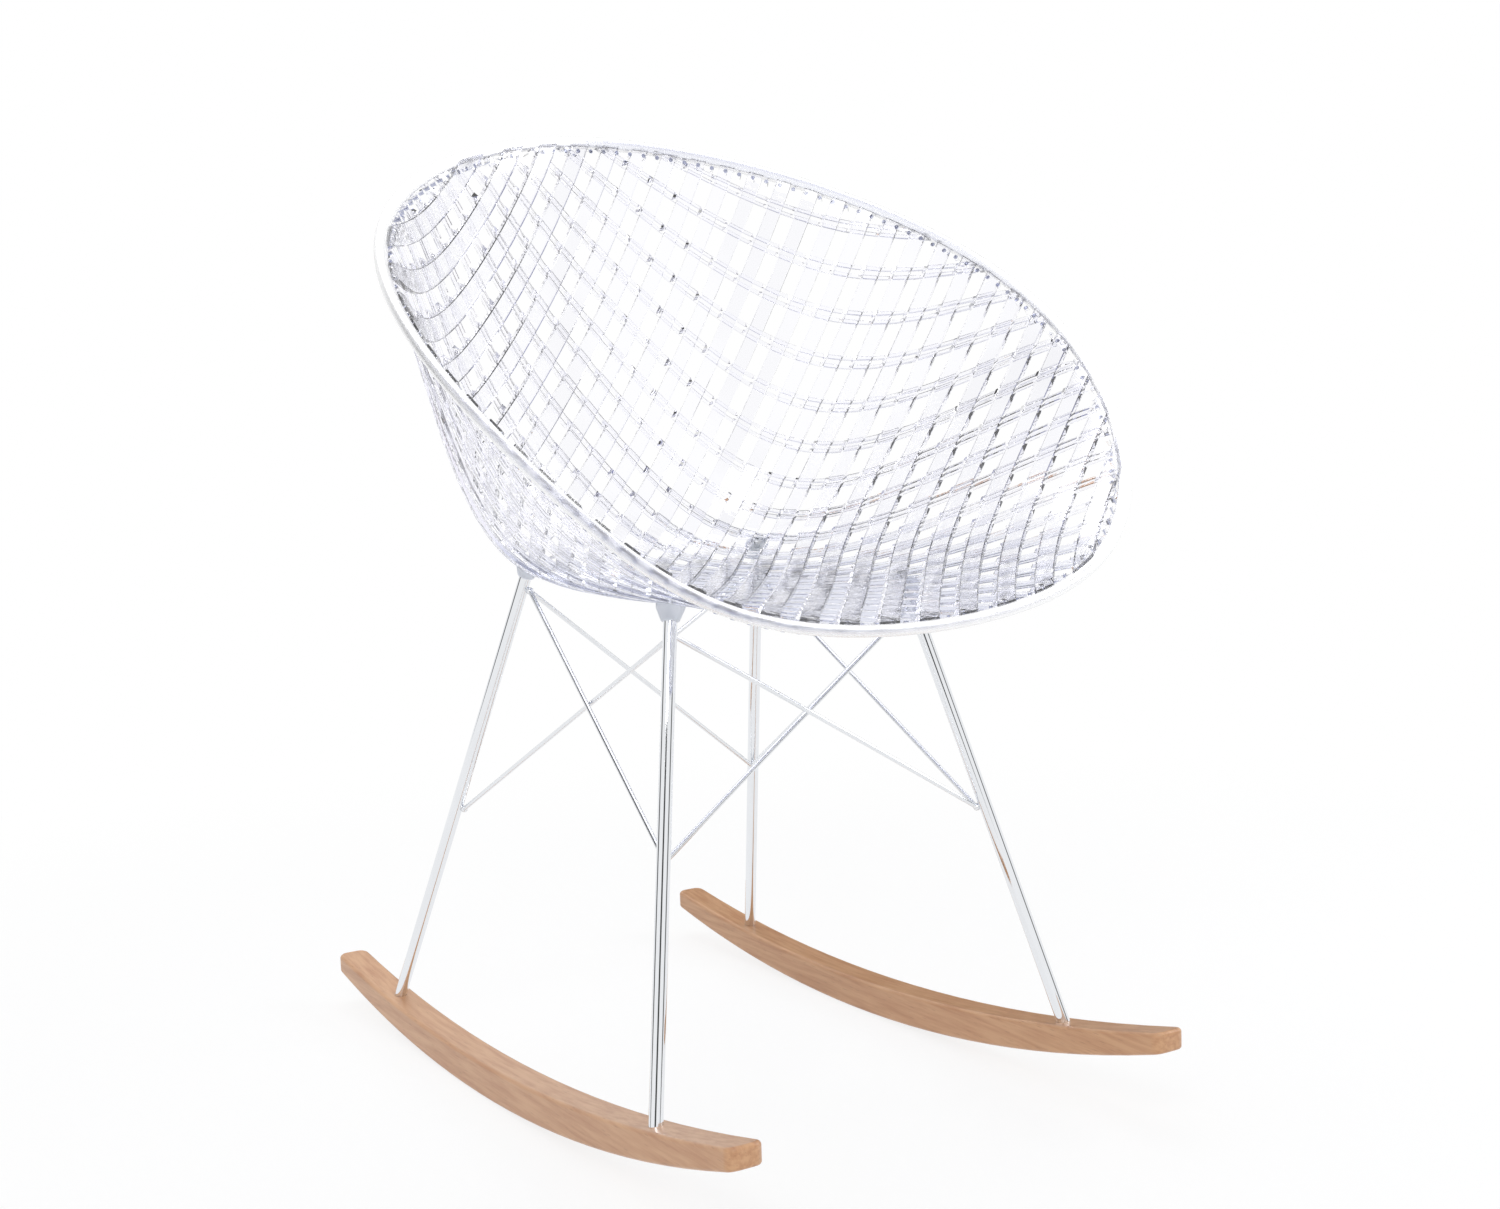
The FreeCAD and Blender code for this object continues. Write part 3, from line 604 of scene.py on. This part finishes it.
def acrylic(name, base, roughness, pan=None):
    """Injection-moulded clear acrylic: it bends what is behind it, so its flat faces vanish and its
    sides draw fine lines. A ripple 11 mm long, left by the mould, breaks up its highlights. A
    faint glow of its own colour is painted light that lifts its darker parts.
    Given a colour for the pan, a painted shade, it turns to that below the pan's edge, where the
    eye looks through many ribs in a row and sees a pale grey."""
    # Painted light: a faint emission of the base colour lifts the acrylic's darker parts.
    material, tree, shader, point = principled(
        name, base, Roughness=roughness, IOR=ACRYLIC_IOR, Transmission_Weight=1,
        Specular_IOR_Level=0.2, Emission_Color=opaque(base), Emission_Strength=0.012)
    ripple = add(tree, "ShaderNodeTexNoise", {"Vector": point}, Scale=per_metre(11.11), Detail=2)
    bump = add(tree, "ShaderNodeBump", {"Height": ripple.outputs["Fac"]}, Strength=0.25,
               Distance=0.0004)
    tree.links.new(bump.outputs["Normal"], shader.inputs["Normal"])
    # Painted shade: below the pan's edge the base colour turns to the pan's pale grey.
    if pan is not None:
        place = add(tree, "ShaderNodeSeparateXYZ", {"Vector": point})
        height = add(tree, "ShaderNodeMapRange", {"Value": place.outputs["Z"]},
                     interpolation_type="SMOOTHSTEP", From_Min=PAN_SHADE_EDGE[0], From_Max=PAN_SHADE_EDGE[1])
        tint = add(tree, "ShaderNodeValToRGB", {"Fac": height.outputs["Result"]},
                   ramp=[(0, opaque(pan)), (1, opaque(base))])
        tree.links.new(tint.outputs["Color"], shader.inputs["Base Color"])
    return material


def frosted_acrylic(base):
    """Moulded acrylic with a sandblasted face: milky and soft, clouded every 22 mm. Its grit is
    drawn at 1.1 mm, about ten times the real one, so that it shows. A glow of its own colour is
    painted light that brightens it."""
    # Painted light: an emission of the base colour brightens the sockets.
    material, tree, shader, point = principled(
        "frosted acrylic", base, Roughness=0.5, IOR=ACRYLIC_IOR, Transmission_Weight=0.5,
        Emission_Color=opaque(base), Emission_Strength=0.1)
    grit = add(tree, "ShaderNodeTexNoise", {"Vector": point}, Scale=per_metre(1.111), Detail=3)
    cloud = add(tree, "ShaderNodeTexNoise", {"Vector": point}, Scale=per_metre(22.22), Detail=2)
    tint = add(tree, "ShaderNodeValToRGB", {"Fac": cloud.outputs["Fac"]},
               ramp=[(0, opaque(base, 0.8)), (1, opaque(base))])
    bump = add(tree, "ShaderNodeBump", {"Height": grit.outputs["Fac"]}, Strength=0.35,
               Distance=0.0003)
    tree.links.new(tint.outputs["Color"], shader.inputs["Base Color"])
    tree.links.new(bump.outputs["Normal"], shader.inputs["Normal"])
    return material


def plated(name, base, roughness, mark, stretch=(1, 1, 1)):
    """Plated steel: bright as a mirror, or duller by its roughness. Faint marks of polishing, of a
    size in millimetres and stretched along the axes given, change its shine and dim it a little."""
    material, tree, shader, point = principled(name, base, Metallic=1)
    along = add(tree, "ShaderNodeMapping", {"Vector": point}, Scale=stretch)
    marks = add(tree, "ShaderNodeTexNoise", {"Vector": along.outputs[0]}, Scale=per_metre(mark),
                Detail=3)
    polish = add(tree, "ShaderNodeMapRange", {"Value": marks.outputs["Fac"]},
                 To_Min=roughness * 0.6, To_Max=roughness * 1.4)
    tint = add(tree, "ShaderNodeValToRGB", {"Fac": marks.outputs["Fac"]},
               ramp=[(0, opaque(base, 0.93)), (1, opaque(base))])
    tree.links.new(polish.outputs["Result"], shader.inputs["Roughness"])
    tree.links.new(tint.outputs["Color"], shader.inputs["Base Color"])
    return material


def lacquered_beech(pale, dark):
    """Planed beech under clear lacquer: even pale wood with soft growth bands about 4 mm wide and
    short dark flecks of 2 mm, both drawn out along the rocker, and a satin coat over them."""
    material, tree, shader, point = principled(
        "lacquered beech", pale, Roughness=0.42, Coat_Weight=0.35, Coat_Roughness=0.2)
    grain = add(tree, "ShaderNodeMapping", {"Vector": point}, Scale=(1, 0.06, 1))
    growth = add(tree, "ShaderNodeTexNoise", {"Vector": grain.outputs[0]},
                 Scale=per_metre(4.348), Detail=4, Roughness=0.6)
    bands = add(tree, "ShaderNodeValToRGB", {"Fac": growth.outputs["Fac"]},
                ramp=[(0.3, opaque(dark)), (0.62, opaque(pale))])
    rays = add(tree, "ShaderNodeMapping", {"Vector": point}, Scale=(1, 0.11, 1))
    fleck = add(tree, "ShaderNodeTexVoronoi", {"Vector": rays.outputs[0]}, Scale=per_metre(2.381))
    specks = add(tree, "ShaderNodeMapRange", {"Value": fleck.outputs["Distance"]},
                 From_Min=0.08, From_Max=0.22, To_Min=0.45, To_Max=0)
    wood = add(tree, "ShaderNodeMix",
               {"Factor": specks.outputs["Result"], MIX_FROM: bands.outputs["Color"]},
               data_type="RGBA")
    wood.inputs[MIX_TO].default_value = opaque(dark, 0.7)
    bump = add(tree, "ShaderNodeBump", {"Height": growth.outputs["Fac"]}, Strength=0.12,
               Distance=0.0004)
    tree.links.new(wood.outputs[MIX_RESULT], shader.inputs["Base Color"])
    tree.links.new(bump.outputs["Normal"], shader.inputs["Normal"])
    return material


def floor_paint(look):
    """Matt white paint that keeps the chair's shadow. For the eye, in gloss and through clear
    pieces it is mostly the white of the surroundings, and wholly so farther out."""
    material, tree, shader, point = principled("matt white floor", look.floor, Roughness=0.9)
    distance = add(tree, "ShaderNodeVectorMath", {"Vector": point}, operation="LENGTH")
    fade = add(tree, "ShaderNodeMapRange", {"Value": distance.outputs["Value"]},
               interpolation_type="SMOOTHSTEP", From_Min=FADE[0], From_Max=FADE[1],
               To_Min=FLOOR_WHITE, To_Max=1)
    path = add(tree, "ShaderNodeLightPath")
    seen = path.outputs["Is Camera Ray"]
    for ray in ("Is Glossy Ray", "Is Transmission Ray"):
        either = add(tree, "ShaderNodeMath", {0: seen, 1: path.outputs[ray]}, operation="MAXIMUM")
        seen = either.outputs[0]
    share = add(tree, "ShaderNodeMath", {0: seen, 1: fade.outputs["Result"]}, operation="MULTIPLY")
    glow = add(tree, "ShaderNodeEmission", Strength=1)
    mix = add(tree, "ShaderNodeMixShader",
              {0: share.outputs[0], 1: shader.outputs[0], 2: glow.outputs[0]})
    tree.links.new(mix.outputs[0], tree.nodes["Material Output"].inputs["Surface"])
    return material


def put_floor(scene, look):
    """A flat square just under the rockers."""
    reach, height = FLOOR_REACH, CAD_BOX[0].z - FLOOR_GAP
    corners = [(x * reach, y * reach, height) for x, y in ((-1, -1), (1, -1), (1, 1), (-1, 1))]
    mesh = bpy.data.meshes.new("floor")
    mesh.from_pydata(corners, [], [(0, 1, 2, 3)])
    mesh.materials.append(floor_paint(look))
    floor = bpy.data.objects.new("floor", mesh)
    scene.collection.objects.link(floor)


def studio_world(look):
    """Soft light from all round. Gloss shows it as white with dark cards, clear pieces show it as
    white that dims towards the ceiling, and the eye sees plain white."""
    world = bpy.data.worlds.new("studio")
    world.use_nodes = True
    tree = world.node_tree
    soft = tree.nodes["Background"]
    soft.inputs["Color"].default_value = opaque(look.sky)
    soft.inputs["Strength"].default_value = look.sky_strength
    around = add(tree, "ShaderNodeTexCoord").outputs["Generated"]
    bearing = add(tree, "ShaderNodeTexGradient", {"Vector": around}, gradient_type="RADIAL")
    edges = [stop for start, end, grey in DARK_CARDS
             for stop in ((start - CARD_EDGE, WHITE), (start, opaque(WHITE[:3], grey)),
                          (end, opaque(WHITE[:3], grey)), (end + CARD_EDGE, WHITE))]
    cards = add(tree, "ShaderNodeValToRGB", {"Fac": bearing.outputs["Fac"]},
                ramp=[(0, WHITE), (1, WHITE), *edges])
    height = add(tree, "ShaderNodeSeparateXYZ", {"Vector": around})
    ceiling = add(tree, "ShaderNodeValToRGB", {"Fac": height.outputs["Z"]},
                  ramp=[(DUSK[0], WHITE), (DUSK[1], opaque(look.ceiling))])
    path = add(tree, "ShaderNodeLightPath")
    shade = soft
    for ray, links in (("Is Glossy Ray", {"Color": cards.outputs["Color"]}),
                       ("Is Transmission Ray", {"Color": ceiling.outputs["Color"]}),
                       ("Is Camera Ray", {})):
        seen = add(tree, "ShaderNodeBackground", links, Color=WHITE, Strength=1)
        shade = add(tree, "ShaderNodeMixShader",
                    {0: path.outputs[ray], 1: shade.outputs[0], 2: seen.outputs[0]})
    tree.links.new(shade.outputs[0], tree.nodes["World Output"].inputs["Surface"])
    return world


def put_lamps(scene, look):
    """Square soft lamps that face the chair."""
    for name, (place, side) in LAMPS.items():
        lamp = bpy.data.lights.new(name, "AREA")
        lamp.size = side
        lamp.energy = getattr(look, name)
        holder = bpy.data.objects.new(name, lamp)
        holder.location = place
        holder.rotation_mode = "QUATERNION"
        holder.rotation_quaternion = (Vector(LAMP_AIM) - Vector(place)).to_track_quat("-Z", "Y")
        scene.collection.objects.link(holder)


def put_camera(scene, look):
    """The camera: its axes are its right, its up and the reverse of its line of sight."""
    camera = bpy.data.cameras.new("camera")
    camera.sensor_fit = "HORIZONTAL"
    camera.sensor_width = SENSOR_WIDTH
    camera.lens = look.lens
    holder = bpy.data.objects.new("camera", camera)
    turn = Matrix((CAMERA_RIGHT, CAMERA_UP, -Vector(CAMERA_AHEAD))).transposed()
    holder.matrix_world = Matrix.Translation(CAMERA_PLACE) @ turn.to_4x4()
    scene.collection.objects.link(holder)
    scene.camera = holder


def chosen(scene):
    """The values in force: the bucket's shape, the lattice's and the finishes."""
    return scene.rocker_bucket, scene.rocker_lattice, scene.rocker_finishes


class ROCKER_OT_stage(bpy.types.Operator):
    """Build the floor, the lamps, the white surroundings and the camera"""
    bl_idname = "rocker.stage"
    bl_label = "Studio"

    def execute(self, context):
        scene, look = context.scene, context.scene.rocker_studio
        scene.view_settings.view_transform = "Standard"
        scene.world = studio_world(look)
        put_floor(scene, look)
        put_lamps(scene, look)
        put_camera(scene, look)
        return {"FINISHED"}


class ROCKER_OT_lattice(bpy.types.Operator):
    """Build the two crossing layers of ribs and their studs in place of the plain bucket"""
    bl_idname = "rocker.lattice"
    bl_label = "Lattice"

    def execute(self, context):
        shape, net, finish = chosen(context.scene)
        half = shape.wall / 2
        clear = acrylic("moulded clear acrylic", finish.acrylic, RIB_ROUGHNESS)
        # The outer ribs take the pan's painted shade.
        under = acrylic("moulded clear acrylic underside", finish.acrylic, RIB_ROUGHNESS,
                        finish.acrylic_pan_shade)
        inner = rib_layer(0, (half - LAYER_WELD, shape.wall), shape, net)
        outer = rib_layer(1, (0, half + LAYER_WELD), shape, net)
        put_clear("lattice_inner_ribs", *inner, clear)
        put_clear("lattice_outer_ribs", *outer, under)
        put_clear("lattice_knots", *knots(shape, net), clear)
        return {"FINISHED"}


class ROCKER_OT_bead(bpy.types.Operator):
    """Build the solid bead round the rim"""
    bl_idname = "rocker.bead"
    bl_label = "Rim bead"

    def execute(self, context):
        shape, net, finish = chosen(context.scene)
        clear = acrylic("moulded clear acrylic bead", finish.acrylic_bead, BEAD_ROUGHNESS)
        put_clear("rim_bead", *rim_bead(shape, net), clear, smooth=True)
        return {"FINISHED"}


class ROCKER_OT_pegs(bpy.types.Operator):
    """Build the row of round pegs under the bead"""
    bl_idname = "rocker.pegs"
    bl_label = "Rim pegs"

    def execute(self, context):
        shape, net, finish = chosen(context.scene)
        # The pegs' darker grey is painted shade.
        clear = acrylic("moulded clear acrylic peg", finish.acrylic_peg_shade, PEG_ROUGHNESS)
        put_clear("rim_pegs", *rim_pegs(shape, net), clear)
        return {"FINISHED"}


class ROCKER_OT_metalwork(bpy.types.Operator):
    """Finish the rods, the brace wires and the screws"""
    bl_idname = "rocker.metalwork"
    bl_label = "Rods, wires and screws"

    def execute(self, context):
        finish = context.scene.rocker_finishes
        rod = plated("polished chrome plate", finish.chrome, 0.06, 16.67, (1, 1, 0.2))
        wire = plated("chrome plate on drawn wire", finish.chrome, 0.2, 33.33)
        screw = plated("zinc plated screw steel", finish.steel, 0.3, 1.429)
        finish_nodes(("leg_front", "leg_rear"), rod)
        finish_nodes("brace_", wire)
        finish_nodes(("seat_screw_", "foot_screw_"), screw)
        return {"FINISHED"}


class ROCKER_OT_sockets(bpy.types.Operator):
    """Finish the four sockets under the pan"""
    bl_idname = "rocker.sockets"
    bl_label = "Leg sockets"

    def execute(self, context):
        finish_nodes("leg_socket", frosted_acrylic(context.scene.rocker_finishes.frosted))
        return {"FINISHED"}


class ROCKER_OT_rockers(bpy.types.Operator):
    """Finish the two rockers"""
    bl_idname = "rocker.rockers"
    bl_label = "Rockers"

    def execute(self, context):
        finish = context.scene.rocker_finishes
        finish_nodes("rocker_", lacquered_beech(finish.beech, finish.beech_dark))
        return {"FINISHED"}


STEPS = (ROCKER_OT_stage, ROCKER_OT_lattice, ROCKER_OT_bead, ROCKER_OT_pegs, ROCKER_OT_metalwork,
         ROCKER_OT_sockets, ROCKER_OT_rockers)
GROUPS = {"rocker_bucket": BucketShape, "rocker_lattice": LatticeShape, "rocker_finishes": Finishes,
          "rocker_studio": StudioLook}


class ROCKER_PT_panel(bpy.types.Panel):
    """The chair's pieces and sizes in the sidebar"""
    bl_idname = "ROCKER_PT_panel"
    bl_label = "Lattice rocking chair"
    bl_space_type = "VIEW_3D"
    bl_region_type = "UI"
    bl_category = "Rocker"

    def draw(self, context):
        for step in STEPS:
            self.layout.operator(step.bl_idname)
        for name, kind in GROUPS.items():
            for key in kind.__annotations__:
                self.layout.prop(getattr(context.scene, name), key)


def register():
    """Registers the classes and gives every scene the groups of values."""
    for kind in (*GROUPS.values(), *STEPS, ROCKER_PT_panel):
        bpy.utils.register_class(kind)
    for name, kind in GROUPS.items():
        setattr(bpy.types.Scene, name, PointerProperty(type=kind))


def unregister():
    """Takes back what register does, in reverse."""
    for name in GROUPS:
        delattr(bpy.types.Scene, name)
    for kind in (ROCKER_PT_panel, *reversed(STEPS), *reversed(GROUPS.values())):
        bpy.utils.unregister_class(kind)


def main():
    """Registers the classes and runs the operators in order."""
    register()
    for step in STEPS:
        group, name = step.bl_idname.split(".")
        getattr(getattr(bpy.ops, group), name)()


if __name__ == "__main__":
    main()
